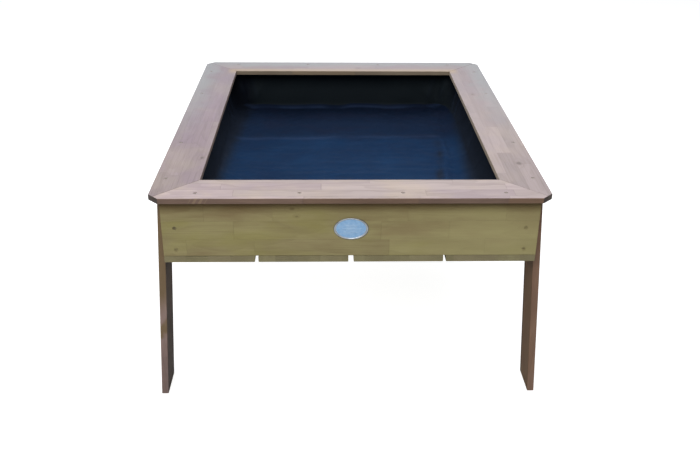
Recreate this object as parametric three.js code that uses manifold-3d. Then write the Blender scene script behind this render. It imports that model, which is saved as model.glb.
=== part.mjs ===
// A sand and water table: a mitred rim of four flat rails on a shallow timber tray, carried on
// four splayed plank legs, with a cloth liner hung inside the tray.
// Millimetres, +Z up. The origin is on the floor under the middle of the table. The front,
// which carries the badge, faces -Y.

import * as THREE from 'three';
import { mergeVertices } from 'three/addons/utils/BufferGeometryUtils.js';
import Module from 'manifold-3d';

const wasm = await Module();
wasm.setup();

// Overall size
const TOP_WIDTH = 810; // across the rim, along X
const TOP_LENGTH = 984; // along the rim, along Y
const HEIGHT = 500;
const FOOT_SPREAD = 846; // between the outer faces of the legs, on the floor
const LEG_SPLAY = THREE.MathUtils.degToRad(3.8); // each leg leans out by this towards its foot

// Rim rails
const RAIL_WIDTH = 94;
const RAIL_THICKNESS = 12;
const CORNER_CUT = 22; // the rim's outer corners are cut off at 45 degrees, this far along each side

// Tray
const BOARD_SETBACK = 16; // the rim overhangs the front and rear boards by this
const BOARD_THICKNESS = 18;
const BOARD_LENGTH = 767;
const TRAY_DEPTH = 137; // from the top of the rim to the underside of the boards
const PLANK_THICKNESS = 14;
const PLANK_GAPS = [7, 11, 6]; // drain slots between the floor planks, which were laid by eye
const LEG_THICKNESS = 15; // the side boards are as thick
const LEG_WIDTH = 80;
const POST_DEPTH = 33;
const POST_INNER_X = 341.5;
const CLEAT_INNER_X = 343;
const CLEAT_HEIGHT = 30;

// Liner
const LINER_THICKNESS = 1.5;
const LINER_RIM_DROP = 2; // its rim ends this far below the top of the boards
const LINER_RIM_CUT = 68; // its corners pass the posts at 45 degrees
const LINER_FLOOR = { halfX: 318, halfY: 450, cut: 40 };
const LINER_SIDE_GAP = 2.5; // from its rim to the side boards
const LINER_END_GAP = 0.6; // from its rim to the front and rear boards

// Badge
const BADGE_WIDTH = 71;
const BADGE_HEIGHT = 48.5;
const BADGE_THICKNESS = 2;
const BADGE_RIM = 3.2; // width of its raised rim
const BADGE_RECESS = 0.8;
const BADGE_STEPS = 24; // straight stretches in half of its outline

// Countersunk wood screws
const SCREW_LENGTH = 38;
const SCREW_HEAD_RADIUS = 3.8;
const SCREW_HEAD_HEIGHT = 2.7;
const SCREW_LIP = 0.5; // height of the head's straight edge
const SCREW_SHANK_RADIUS = 1.9;
const SCREW_POINT = 5;
const SCREW_SINK = 0.4; // the heads lie this far below the surface
const SCREW_SIDES = 12;
const RAIL_SCREW_INSET = { front: 26.5, side: 22.5 }; // from the rim's outer edge
const RAIL_SCREW_X = [-312, -104, 104, 312];
const RAIL_SCREW_Y = [-391, -184, 184, 391];
const BOARD_SCREW_X = 357.5;
const BOARD_SCREW_Z = { upper: 427, lower: 378 };
const LEG_SCREW_Y = 441;
const LEG_SCREW_Z = { upper: 455, lower: 400 };

// Shared by all pieces
const CLEARANCE = 0.3; // left between pieces that touch
const EASE = 1.5; // rounding of the planed edges
const EASE_STEPS = 2;

// Levels and faces that follow from the above
const RAIL_UNDERSIDE = HEIGHT - RAIL_THICKNESS;
const BOARD_TOP = RAIL_UNDERSIDE - CLEARANCE;
const BOARD_BOTTOM = HEIGHT - TRAY_DEPTH;
const PLANK_TOP = BOARD_BOTTOM - CLEARANCE;
const BOARD_FACE_Y = TOP_LENGTH / 2 - BOARD_SETBACK;
const BOARD_INNER_Y = BOARD_FACE_Y - BOARD_THICKNESS;
const LEG_FRONT_Y = BOARD_INNER_Y - CLEARANCE;
const LEG_REAR_Y = LEG_FRONT_Y - LEG_WIDTH;
const POST_REAR_Y = LEG_FRONT_Y - POST_DEPTH;

const SIDES = { left: -1, right: 1 };
const ENDS = { front: -1, rear: 1 };

const group = new THREE.Group();

// ---------------------------------------------------------------- materials

const wood = (color) => new THREE.MeshStandardMaterial({ color, roughness: 0.72, metalness: 0 });
const railWood = wood(0x98806f);
const boardWood = wood(0x7c6b48);
const legWood = wood(0x6e5746);
const innerWood = wood(0x75624a);
const linerCloth = new THREE.MeshStandardMaterial({ color: 0x131b2c, roughness: 0.9, metalness: 0 });
const badgeMetal = new THREE.MeshStandardMaterial({ color: 0xa4b2bd, roughness: 0.4, metalness: 0.8 });
const screwMetal = new THREE.MeshStandardMaterial({ color: 0x3b332c, roughness: 0.5, metalness: 0.9 });

// ------------------------------------------------------------------- solids

/** The x of a leg's outer face at height z, on the +X side. */
function legOuterX(z) {
  return FOOT_SPREAD / 2 - z * Math.tan(LEG_SPLAY);
}

/** The x of a leg's inner face at height z, on the +X side. */
function legInnerX(z) {
  return legOuterX(z) - LEG_THICKNESS / Math.cos(LEG_SPLAY);
}

/** A closed mesh as a manifold solid: shared corners merged, flattened triangles dropped. */
function toSolid(geometry) {
  const bare = geometry.clone();
  bare.deleteAttribute('normal');
  bare.deleteAttribute('uv');
  const merged = mergeVertices(bare);
  const corners = merged.index.array;
  const kept = [];
  for (let i = 0; i < corners.length; i += 3) {
    const [a, b, c] = corners.slice(i, i + 3);
    if (a !== b && b !== c && c !== a) kept.push(a, b, c);
  }
  const vertProperties = new Float32Array(merged.attributes.position.array);
  const triVerts = new Uint32Array(kept);
  return new wasm.Manifold(new wasm.Mesh({ numProp: 3, vertProperties, triVerts }));
}

function toGeometry(solid) {
  const { vertProperties, triVerts } = solid.getMesh();
  const geometry = new THREE.BufferGeometry();
  geometry.setAttribute('position', new THREE.BufferAttribute(vertProperties, 3));
  geometry.setIndex(new THREE.BufferAttribute(triVerts, 1));
  geometry.computeVertexNormals();
  return geometry;
}

/** An outline through [x, y] corners, each rounded as a planed edge is. */
function easedOutline(corners) {
  const points = corners.map(([x, y]) => new THREE.Vector2(x, y));
  const towards = (from, to) => to.clone().sub(from).setLength(EASE).add(from);
  const shape = new THREE.Shape();
  points.forEach((corner, i) => {
    const start = towards(corner, points.at(i - 1));
    const end = towards(corner, points[(i + 1) % points.length]);
    if (i === 0) shape.moveTo(start.x, start.y);
    else shape.lineTo(start.x, start.y);
    shape.quadraticCurveTo(corner.x, corner.y, end.x, end.y);
  });
  shape.closePath();
  return shape;
}

function rectangle(x0, y0, x1, y1) {
  return [[x0, y0], [x1, y0], [x1, y1], [x0, y1]];
}

/** A planed bar: an eased section, centred along the geometry's Z. */
function bar(corners, length) {
  const options = { depth: length, bevelEnabled: false, curveSegments: EASE_STEPS };
  return new THREE.ExtrudeGeometry(easedOutline(corners), options).translate(0, 0, -length / 2);
}

/** A bar along X, from a section in Y and Z. */
function barAlongX(corners, length) {
  const turn = new THREE.Matrix4().makeBasis(
    new THREE.Vector3(0, 1, 0),
    new THREE.Vector3(0, 0, 1),
    new THREE.Vector3(1, 0, 0),
  );
  return bar(corners, length).applyMatrix4(turn);
}

/** A bar along Y, from a section in X and Z. */
function barAlongY(corners, length) {
  return bar(corners, length).rotateX(Math.PI / 2);
}

/** A plain prism over a plan outline, from z = 0 up. */
function prism(corners, height) {
  const shape = new THREE.Shape(corners.map(([x, y]) => new THREE.Vector2(x, y)));
  return new THREE.ExtrudeGeometry(shape, { depth: height, bevelEnabled: false });
}

function add(name, geometry, material, place = [0, 0, 0]) {
  const mesh = new THREE.Mesh(geometry, material);
  mesh.name = name;
  mesh.position.set(...place);
  group.add(mesh);
  return mesh;
}

// --------------------------------------------------------------------- rim

/** A rail lies along X with its outer edge on y = 0. Its ends are mitred and its corners cut. */
function railGeometry(length) {
  const half = length / 2;
  const shift = (CLEARANCE / 2) * Math.SQRT2; // opens each mitre by half the clearance
  const farX = half - RAIL_WIDTH - shift;
  const cutX = half - CORNER_CUT / 2 - shift;
  const plan = [
    [-half + CORNER_CUT, 0],
    [half - CORNER_CUT, 0],
    [cutX, CORNER_CUT / 2],
    [farX, RAIL_WIDTH],
    [-farX, RAIL_WIDTH],
    [-cutX, CORNER_CUT / 2],
  ];
  const stock = toSolid(barAlongX(rectangle(0, 0, RAIL_WIDTH, RAIL_THICKNESS), length));
  return toGeometry(stock.intersect(toSolid(prism(plan, RAIL_THICKNESS))));
}

function makeRails() {
  const rails = {};
  for (const [end, way] of Object.entries(ENDS)) {
    const place = [0, way * TOP_LENGTH / 2, RAIL_UNDERSIDE];
    rails[end] = add(`top_rail_${end}`, railGeometry(TOP_WIDTH), railWood.clone(), place);
    rails[end].rotation.z = way < 0 ? 0 : Math.PI;
  }
  for (const [side, way] of Object.entries(SIDES)) {
    const place = [way * TOP_WIDTH / 2, 0, RAIL_UNDERSIDE];
    rails[side] = add(`top_rail_${side}`, railGeometry(TOP_LENGTH), railWood.clone(), place);
    rails[side].rotation.z = way * Math.PI / 2;
  }
  return rails;
}

// -------------------------------------------------------------------- tray

function makeEndBoards() {
  const boards = {};
  const section = rectangle(-BOARD_THICKNESS / 2, BOARD_BOTTOM, BOARD_THICKNESS / 2, BOARD_TOP);
  for (const [end, way] of Object.entries(ENDS)) {
    const place = [0, way * (BOARD_FACE_Y - BOARD_THICKNESS / 2), 0];
    boards[end] = add(`${end}_board`, barAlongX(section, BOARD_LENGTH), boardWood.clone(), place);
  }
  return boards;
}

/** A section in X and Z between two faces, of which each gives x for a height. */
function slopedSection(way, innerX, outerX, low, high) {
  const corners = [
    [innerX(low), low],
    [outerX(low), low],
    [outerX(high), high],
    [innerX(high), high],
  ];
  return way > 0 ? corners : corners.map(([x, z]) => [-x, z]).reverse();
}

/** The face that a post or cleat turns to the leg or side board. */
const backX = (z) => legInnerX(z) - CLEARANCE;

function makeSideBoards() {
  const boards = {};
  const length = 2 * (LEG_REAR_Y - CLEARANCE);
  for (const [side, way] of Object.entries(SIDES)) {
    const section = slopedSection(way, legInnerX, legOuterX, BOARD_BOTTOM, BOARD_TOP);
    boards[side] = add(`side_board_${side}`, barAlongY(section, length), boardWood.clone());
  }
  return boards;
}

function makeCorners(make) {
  const pieces = {};
  for (const [end, endWay] of Object.entries(ENDS)) {
    for (const [side, sideWay] of Object.entries(SIDES)) {
      pieces[`${end}_${side}`] = make(`${end}_${side}`, endWay, sideWay);
    }
  }
  return pieces;
}

function makePost(corner, endWay, sideWay) {
  const section = slopedSection(sideWay, () => POST_INNER_X, backX, BOARD_BOTTOM, BOARD_TOP);
  const place = [0, endWay * (LEG_FRONT_Y - POST_DEPTH / 2), 0];
  return add(`corner_post_${corner}`, barAlongY(section, POST_DEPTH), innerWood.clone(), place);
}

function makeCleats() {
  const length = 2 * (POST_REAR_Y - CLEARANCE);
  const top = BOARD_BOTTOM + CLEAT_HEIGHT;
  for (const [side, way] of Object.entries(SIDES)) {
    const section = slopedSection(way, () => CLEAT_INNER_X, backX, BOARD_BOTTOM, top);
    add(`side_cleat_${side}`, barAlongY(section, length), innerWood.clone());
  }
}

function makeFloorPlanks() {
  const slots = PLANK_GAPS.reduce((total, gap) => total + gap, 0);
  const width = (BOARD_LENGTH - slots) / (PLANK_GAPS.length + 1);
  const section = rectangle(0, -PLANK_THICKNESS, width, 0);
  let x = -BOARD_LENGTH / 2;
  [...PLANK_GAPS, 0].forEach((gap, i) => {
    const plank = barAlongY(section, 2 * BOARD_FACE_Y);
    add(`floor_plank_${i + 1}`, plank, boardWood.clone(), [x, 0, PLANK_TOP]);
    x += width + gap;
  });
}

// -------------------------------------------------------------------- legs

/** A leg leans outwards as it goes down. Its head and foot are cut level. */
function makeLeg(corner, endWay, sideWay) {
  const halfWidth = LEG_WIDTH / 2;
  const outline = rectangle(
    Math.min(0, -sideWay * LEG_THICKNESS),
    -halfWidth,
    Math.max(0, -sideWay * LEG_THICKNESS),
    halfWidth,
  );
  const stock = bar(outline, 2 * HEIGHT + TRAY_DEPTH).rotateY(-sideWay * LEG_SPLAY);
  const slab = prism(rectangle(-LEG_WIDTH, -LEG_WIDTH, LEG_WIDTH, LEG_WIDTH), BOARD_TOP);
  const leg = toGeometry(toSolid(stock).intersect(toSolid(slab)));
  const place = [sideWay * FOOT_SPREAD / 2, endWay * (LEG_FRONT_Y - halfWidth), 0];
  return add(`leg_${corner}`, leg, legWood.clone(), place);
}

// ------------------------------------------------------------------- liner

/** One level of the liner: a rectangle with its corners cut off, counter-clockwise from above. */
function linerRing({ halfX, halfY, cut }, z, inset) {
  const x = halfX - inset;
  const y = halfY - inset;
  const side = cut - inset * (2 - Math.SQRT2);
  const quarter = [
    [x, y - side],
    [x - side, y],
  ];
  const mirrored = quarter.map(([a, b]) => [-a, b]).reverse();
  const rear = [...quarter, ...mirrored];
  const front = rear.map(([a, b]) => [-a, -b]);
  return [...rear, ...front].map(([a, b]) => new THREE.Vector3(a, b, z));
}

/** A closed body through a list of rings with as many points each, closed by the first and last. */
function loft(rings) {
  const count = rings[0].length;
  const corners = [];
  for (let i = 1; i < count - 1; i += 1) corners.push(0, i + 1, i);
  for (let level = 0; level < rings.length - 1; level += 1) {
    const low = level * count;
    const high = low + count;
    for (let i = 0; i < count; i += 1) {
      const next = (i + 1) % count;
      corners.push(low + i, low + next, high + next);
      corners.push(low + i, high + next, high + i);
    }
  }
  const last = (rings.length - 1) * count;
  for (let i = 1; i < count - 1; i += 1) corners.push(last, last + i, last + i + 1);
  const geometry = new THREE.BufferGeometry().setFromPoints(rings.flat());
  geometry.setIndex(corners);
  geometry.computeVertexNormals();
  return geometry;
}

function makeLiner() {
  const rimZ = BOARD_TOP - LINER_RIM_DROP;
  const floorZ = PLANK_TOP + CLEARANCE;
  const rim = {
    halfX: legInnerX(rimZ) - LINER_SIDE_GAP,
    halfY: BOARD_INNER_Y - LINER_END_GAP,
    cut: LINER_RIM_CUT,
  };
  const rings = [
    linerRing(LINER_FLOOR, floorZ, 0),
    linerRing(rim, rimZ, 0),
    linerRing(rim, rimZ, LINER_THICKNESS),
    linerRing(LINER_FLOOR, floorZ + LINER_THICKNESS, LINER_THICKNESS),
  ];
  add('liner', loft(rings), linerCloth);
}

// ------------------------------------------------------------------- badge

/** An oval plate, facing +Z, with its field sunk inside a raised rim. */
function badgeGeometry() {
  const oval = (inset) => new THREE.Shape().absellipse(
    0, 0, BADGE_WIDTH / 2 - inset, BADGE_HEIGHT / 2 - inset, 0, 2 * Math.PI, false, 0,
  );
  const plate = new THREE.ExtrudeGeometry(oval(0), {
    depth: BADGE_THICKNESS / 2,
    bevelThickness: BADGE_THICKNESS / 2,
    bevelSize: BADGE_THICKNESS / 2,
    bevelOffset: -BADGE_THICKNESS / 2,
    bevelSegments: 2,
    curveSegments: BADGE_STEPS,
  }).translate(0, 0, BADGE_THICKNESS / 2);
  const back = new THREE.ExtrudeGeometry(oval(0), {
    depth: BADGE_THICKNESS,
    bevelEnabled: false,
    curveSegments: BADGE_STEPS,
  });
  const field = back.clone().scale(
    1 - (2 * BADGE_RIM) / BADGE_WIDTH,
    1 - (2 * BADGE_RIM) / BADGE_HEIGHT,
    1,
  ).translate(0, 0, BADGE_THICKNESS - BADGE_RECESS);
  return toGeometry(toSolid(plate).intersect(toSolid(back)).subtract(toSolid(field)));
}

function makeBadge() {
  const place = [0, -BOARD_FACE_Y - CLEARANCE, (BOARD_TOP + BOARD_BOTTOM) / 2];
  const badge = add('badge', badgeGeometry(), badgeMetal, place);
  badge.rotation.x = Math.PI / 2;
}

// ------------------------------------------------------------------ screws

/** A screw, or the hole that takes it, whose head faces +Z on the plane z = 0. */
function screwGeometry(room = 0, above = 0) {
  const profile = [
    [0, -SCREW_LENGTH - room],
    [SCREW_SHANK_RADIUS + room, SCREW_POINT - SCREW_LENGTH - room],
    [SCREW_SHANK_RADIUS + room, -SCREW_HEAD_HEIGHT - room],
    [SCREW_HEAD_RADIUS + room, -SCREW_LIP - room],
    [SCREW_HEAD_RADIUS + room, above],
    [0, above],
  ];
  const points = profile.map(([r, z]) => new THREE.Vector2(r, z));
  return new THREE.LatheGeometry(points, SCREW_SIDES).rotateX(Math.PI / 2);
}

const screwBody = toGeometry(toSolid(screwGeometry()));
const screwHole = screwGeometry(CLEARANCE, 2 * SCREW_SINK + CLEARANCE);

function drill(piece, screw) {
  piece.updateMatrixWorld();
  screw.updateMatrixWorld();
  const toPiece = piece.matrixWorld.clone().invert().multiply(screw.matrixWorld);
  const hole = toSolid(screwHole.clone().applyMatrix4(toPiece));
  piece.geometry = toGeometry(toSolid(piece.geometry).subtract(hole));
}

/** Drives a screw into the pieces at a surface point. Its head faces +Z before the turn. */
function drive(name, surface, turn, pieces) {
  const screw = add(name, screwBody.clone(), screwMetal.clone());
  screw.rotation.set(...turn);
  const outwards = new THREE.Vector3(0, 0, 1).applyEuler(screw.rotation);
  screw.position.set(...surface).addScaledVector(outwards, -SCREW_SINK);
  for (const piece of pieces) drill(piece, screw);
}

function driveRailScrews(rails, endBoards, sideBoards, legs) {
  for (const [end, way] of Object.entries(ENDS)) {
    const y = way * (TOP_LENGTH / 2 - RAIL_SCREW_INSET.front);
    RAIL_SCREW_X.forEach((x, i) => {
      const pieces = [rails[end], endBoards[end]];
      drive(`rail_screw_${end}_${i + 1}`, [x, y, HEIGHT], [0, 0, 0], pieces);
    });
  }
  for (const [side, way] of Object.entries(SIDES)) {
    const x = way * (TOP_WIDTH / 2 - RAIL_SCREW_INSET.side);
    RAIL_SCREW_Y.forEach((y, i) => {
      const end = y < 0 ? 'front' : 'rear';
      const inLeg = Math.abs(y) > LEG_REAR_Y;
      const below = inLeg ? legs[`${end}_${side}`] : sideBoards[side];
      drive(`rail_screw_${side}_${i + 1}`, [x, y, HEIGHT], [0, 0, 0], [rails[side], below]);
    });
  }
}

function driveBoardScrews(endBoards, posts) {
  for (const [end, endWay] of Object.entries(ENDS)) {
    for (const [side, sideWay] of Object.entries(SIDES)) {
      for (const [level, z] of Object.entries(BOARD_SCREW_Z)) {
        const surface = [sideWay * BOARD_SCREW_X, endWay * BOARD_FACE_Y, z];
        const turn = [-endWay * Math.PI / 2, 0, 0];
        const pieces = [endBoards[end], posts[`${end}_${side}`]];
        drive(`board_screw_${end}_${side}_${level}`, surface, turn, pieces);
      }
    }
  }
}

function driveLegScrews(legs, posts) {
  for (const [end, endWay] of Object.entries(ENDS)) {
    for (const [side, sideWay] of Object.entries(SIDES)) {
      for (const [level, z] of Object.entries(LEG_SCREW_Z)) {
        const surface = [sideWay * legOuterX(z), endWay * LEG_SCREW_Y, z];
        const turn = [0, sideWay * (Math.PI / 2 - LEG_SPLAY), 0];
        const pieces = [legs[`${end}_${side}`], posts[`${end}_${side}`]];
        drive(`leg_screw_${end}_${side}_${level}`, surface, turn, pieces);
      }
    }
  }
}

// ---------------------------------------------------------------- assembly

const rails = makeRails();
const endBoards = makeEndBoards();
const sideBoards = makeSideBoards();
const posts = makeCorners(makePost);
makeCleats();
makeFloorPlanks();
const legs = makeCorners(makeLeg);
makeLiner();
makeBadge();
driveRailScrews(rails, endBoards, sideBoards, legs);
driveBoardScrews(endBoards, posts);
driveLegScrews(legs, posts);

export default group;
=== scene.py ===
"""The looks of a sand and water table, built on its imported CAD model.

Units are metres. The front, with the badge, faces -Y. The order is camera, materials, wooden parts,
liner, fittings, then the studio.
"""

import math

import bmesh
import bpy
from mathutils import Matrix, Vector, noise


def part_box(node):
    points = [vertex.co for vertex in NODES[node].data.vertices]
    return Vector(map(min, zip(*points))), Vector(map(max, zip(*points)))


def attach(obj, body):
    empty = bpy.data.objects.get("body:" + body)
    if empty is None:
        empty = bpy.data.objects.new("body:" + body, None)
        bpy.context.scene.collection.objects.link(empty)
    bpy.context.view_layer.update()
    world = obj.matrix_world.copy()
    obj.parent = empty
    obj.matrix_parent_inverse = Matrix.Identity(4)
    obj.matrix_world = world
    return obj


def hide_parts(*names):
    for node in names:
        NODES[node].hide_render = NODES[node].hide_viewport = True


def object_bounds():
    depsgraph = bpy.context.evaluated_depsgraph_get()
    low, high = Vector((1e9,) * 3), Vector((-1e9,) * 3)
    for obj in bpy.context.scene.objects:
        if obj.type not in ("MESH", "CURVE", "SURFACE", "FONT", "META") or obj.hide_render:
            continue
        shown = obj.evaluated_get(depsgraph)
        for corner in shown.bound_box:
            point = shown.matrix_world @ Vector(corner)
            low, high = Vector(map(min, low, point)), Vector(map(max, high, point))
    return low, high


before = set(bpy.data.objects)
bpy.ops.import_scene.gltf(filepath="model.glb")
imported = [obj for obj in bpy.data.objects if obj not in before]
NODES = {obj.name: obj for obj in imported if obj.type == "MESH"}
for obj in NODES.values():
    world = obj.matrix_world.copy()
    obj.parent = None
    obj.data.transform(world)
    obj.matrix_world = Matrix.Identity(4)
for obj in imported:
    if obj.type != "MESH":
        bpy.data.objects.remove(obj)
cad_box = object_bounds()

BODY = "root"
SCENE = bpy.context.scene
SIDES = {"left": -1, "right": 1}
ENDS = {"front": -1, "rear": 1}
MM = 0.001

low, high = cad_box
TOP_Z = high.z


# ------------------------------------------------------------------ camera

CAMERA_BACK = 1.5165  # in front of the rim's front edge
CAMERA_UP = 0.6969  # over the rim's top
CAMERA_SIDE = -0.0498
CAMERA_PITCH = math.radians(26.469)
CAMERA_YAW = math.radians(-1.772)
CAMERA_ROLL = math.radians(0.64)
LENS_MM = 43.43


def make_camera():
    data = bpy.data.cameras.new("camera")
    data.sensor_width = 36
    data.lens = LENS_MM
    camera = bpy.data.objects.new("camera", data)
    SCENE.collection.objects.link(camera)
    place = Matrix.Translation((CAMERA_SIDE, low.y - CAMERA_BACK, TOP_Z + CAMERA_UP))
    turn = Matrix.Rotation(CAMERA_YAW, 4, "Z") @ Matrix.Rotation(math.pi / 2 - CAMERA_PITCH, 4, "X")
    camera.matrix_world = place @ turn @ Matrix.Rotation(CAMERA_ROLL, 4, "Z")
    SCENE.camera = camera


make_camera()


# --------------------------------------------------------------- materials


class Shader:
    """A material whose nodes are made one call at a time. Each call returns an output socket."""

    def __init__(self, name):
        self.material = bpy.data.materials.new(name)
        self.material.use_nodes = True
        self.tree = self.material.node_tree
        self.tree.nodes.clear()

    def node(self, kind, inputs=(), **settings):
        """A node with these settings, fed with (socket name or index, value or output) pairs."""
        made = self.tree.nodes.new(kind)
        for key, value in settings.items():
            setattr(made, key, value)
        for key, value in inputs:
            if isinstance(value, bpy.types.NodeSocket):
                self.tree.links.new(value, made.inputs[key])
            elif value is not None:
                made.inputs[key].default_value = value
        return made

    def maths(self, operation, *values, clamp=False):
        pairs = list(enumerate(values))
        return self.node("ShaderNodeMath", pairs, operation=operation, use_clamp=clamp).outputs[0]

    def add(self, *values):
        total = values[0]
        for value in values[1:]:
            total = self.maths("ADD", total, value)
        return total

    def times(self, *values):
        total = values[0]
        for value in values[1:]:
            total = self.maths("MULTIPLY", total, value)
        return total

    def inverse(self, value):
        return self.maths("SUBTRACT", 1.0, value)

    def absolute(self, value):
        return self.maths("ABSOLUTE", value)

    def length(self, x, y):
        return self.maths("SQRT", self.add(self.times(x, x), self.times(y, y)))

    def combine(self, x, y, z):
        return self.node("ShaderNodeCombineXYZ", [(0, x), (1, y), (2, z)]).outputs[0]

    def stretched(self, point, *scales):
        return self.combine(*(self.times(c, scale) for c, scale in zip(point, scales)))

    def separate(self, vector):
        return list(self.node("ShaderNodeSeparateXYZ", [(0, vector)]).outputs)

    def noise(self, vector, scale, detail=2.0, roughness=0.5):
        pairs = [("Vector", vector), ("Scale", scale), ("Detail", detail), ("Roughness", roughness)]
        return self.node("ShaderNodeTexNoise", pairs).outputs[0]

    def random(self, x, y, z):
        """Three random numbers from 0 to 1 that stay the same while x, y and z do."""
        made = self.node("ShaderNodeTexWhiteNoise", [("Vector", self.combine(x, y, z))])
        return self.separate(made.outputs["Color"])

    def step(self, value, start, end):
        """0 before start, 1 after end, and smooth between."""
        pairs = [("Value", value), ("From Min", start), ("From Max", end)]
        return self.node("ShaderNodeMapRange", pairs, interpolation_type="SMOOTHSTEP").outputs[0]

    def fall(self, value, start, end):
        """1 before start, 0 after end, and smooth between."""
        return self.inverse(self.step(value, start, end))

    def mix(self, factor, a, b, blend="MIX"):
        pairs = [(0, factor), (6, opaque(a)), (7, opaque(b))]
        return self.node("ShaderNodeMix", pairs, data_type="RGBA", blend_type=blend).outputs[2]

    def tint(self, colour, tone, *shares):
        """The colour, mixed with the tone by the product of the shares."""
        return self.mix(self.times(*shares), colour, tone)

    def shade(self, colour, value):
        """The colour times a plain number."""
        return self.mix(1.0, colour, self.combine(value, value, value), "MULTIPLY")

    def finish(self, colour, roughness, height=None, depth=0.0, **constants):
        """Ends in a Principled surface. depth is the relief in metres of a height of 1."""
        pairs = [("Base Color", opaque(colour)), ("Roughness", roughness)]
        pairs += [(key.replace("_", " "), value) for key, value in constants.items()]
        if height is not None:
            bump = [("Strength", 1.0), ("Distance", depth), ("Height", height)]
            pairs.append(("Normal", self.node("ShaderNodeBump", bump).outputs[0]))
        surface = self.node("ShaderNodeBsdfPrincipled", pairs)
        self.node("ShaderNodeOutputMaterial", [("Surface", surface.outputs[0])])
        return self.material


def opaque(colour):
    return (*colour, 1.0) if isinstance(colour, tuple) and len(colour) == 3 else colour


def position(shader, lean=0.0):
    """The point in the frame. lean turns it about Y, for boards that lean to the side."""
    place = shader.node("ShaderNodeTexCoord").outputs["Object"]
    if lean:
        pairs = [("Vector", place), ("Rotation", (0.0, lean, 0.0))]
        place = shader.node("ShaderNodeMapping", pairs).outputs[0]
    return shader.separate(place)


def facing(shader, axis):
    """How squarely the surface faces along an axis, from 0 to 1, by its flat normal."""
    normal = shader.node("ShaderNodeNewGeometry").outputs["True Normal"]
    return shader.absolute(shader.separate(normal)[axis])


STAVE_ZIGZAG = 0.0045  # reach of the fingers in a finger joint
STAVE_PITCH = 0.0040  # distance between the fingers
RING = 0.0034  # year ring spacing
LATE_END = 0.95  # where late wood ends, as a share of a ring
RELIEF = 0.00035  # of grooves in the wood

RIM_HALF_X = 0.405
OPENING = (0.311, 0.398)  # half its width and half its length
MITRE_OFFSET = (high.y - low.y) / 2 - RIM_HALF_X  # the mitres meet the rim's corners
LEG_LEAN = math.radians(3.8)

PLANKS = 4
# Length and width of the staves.
RAIL_STAVE = (0.26, 0.0313)
BOARD_STAVE = (0.21, 0.0416)
PLANK_STAVE = (0.33, 0.0461)
LEG_STAVE = (0.24, 0.04)
POST_STAVE = (0.5, 0.033)
CLEAT_STAVE = (0.6, 0.05)

# Linear colours. The tones are (pale, middle, dark, tint).
KNOT = (0.045, 0.028, 0.018)
RAIL_TONES = {
    "front": (
        (0.25, 0.165, 0.125), (0.18, 0.117, 0.092), (0.092, 0.062, 0.046), (0.27, 0.155, 0.08),
    ),
    "rear": ((0.31, 0.245, 0.175), (0.245, 0.19, 0.135), (0.125, 0.095, 0.065), (0.29, 0.21, 0.13)),
    "left": ((0.30, 0.22, 0.19), (0.23, 0.17, 0.15), (0.12, 0.088, 0.075), (0.29, 0.20, 0.15)),
    "right": ((0.42, 0.345, 0.275), (0.34, 0.28, 0.225), (0.17, 0.135, 0.105), (0.40, 0.31, 0.22)),
}
# The rails' tops carry a painted sky reflection that makes them paler than their sides: two cool
# tones and a warm one.
RAIL_SKY_SHEEN = {
    "front": ((0.425, 0.335, 0.35), (0.455, 0.37, 0.355), (0.505, 0.405, 0.335)),
    "rear": ((0.37, 0.305, 0.31), (0.39, 0.33, 0.32), (0.42, 0.345, 0.30)),
    "left": ((0.295, 0.225, 0.255), (0.325, 0.255, 0.27), (0.36, 0.295, 0.265)),
    "right": ((0.375, 0.305, 0.30), (0.395, 0.32, 0.315), (0.425, 0.34, 0.305)),
}
BOARD_TONES = ((0.40, 0.35, 0.165), (0.33, 0.28, 0.13), (0.17, 0.125, 0.05), (0.36, 0.295, 0.16))
PLANK_TONES = (
    (0.38, 0.345, 0.185), (0.305, 0.27, 0.145), (0.15, 0.125, 0.068), (0.34, 0.285, 0.175),
)
LEG_TONES = {
    "left": ((0.365, 0.255, 0.225), (0.285, 0.20, 0.18), (0.13, 0.09, 0.078), (0.33, 0.235, 0.225)),
    "right": (
        (0.30, 0.180, 0.118), (0.238, 0.141, 0.094), (0.112, 0.065, 0.042), (0.27, 0.165, 0.118),
    ),
}
INNER_TONES = ((0.30, 0.22, 0.13), (0.24, 0.17, 0.10), (0.12, 0.08, 0.045), (0.27, 0.19, 0.12))
# Of the left (-1) and right legs: the painted shade on the side that faces in, deeper on the left
# legs, how olive they are, and their worn patches.
LEG_SHADE_AND_STAINS = {
    -1: ((0.050, 0.043, 0.037), 0.80, (0.36, 0.285, 0.29)),
    1: ((0.250, 0.150, 0.078), 0.0, (0.34, 0.215, 0.160)),
}
OLIVE = (0.20, 0.135, 0.055)
MAUVE = (0.305, 0.258, 0.285)
SILVER = (0.325, 0.33, 0.335)
BARE_EDGE = (0.43, 0.325, 0.235)
PALE_JOINT = (0.34, 0.245, 0.16)
SOAKED_CUT = (0.056, 0.050, 0.050)
SEAM = (0.10, 0.062, 0.045)


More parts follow.
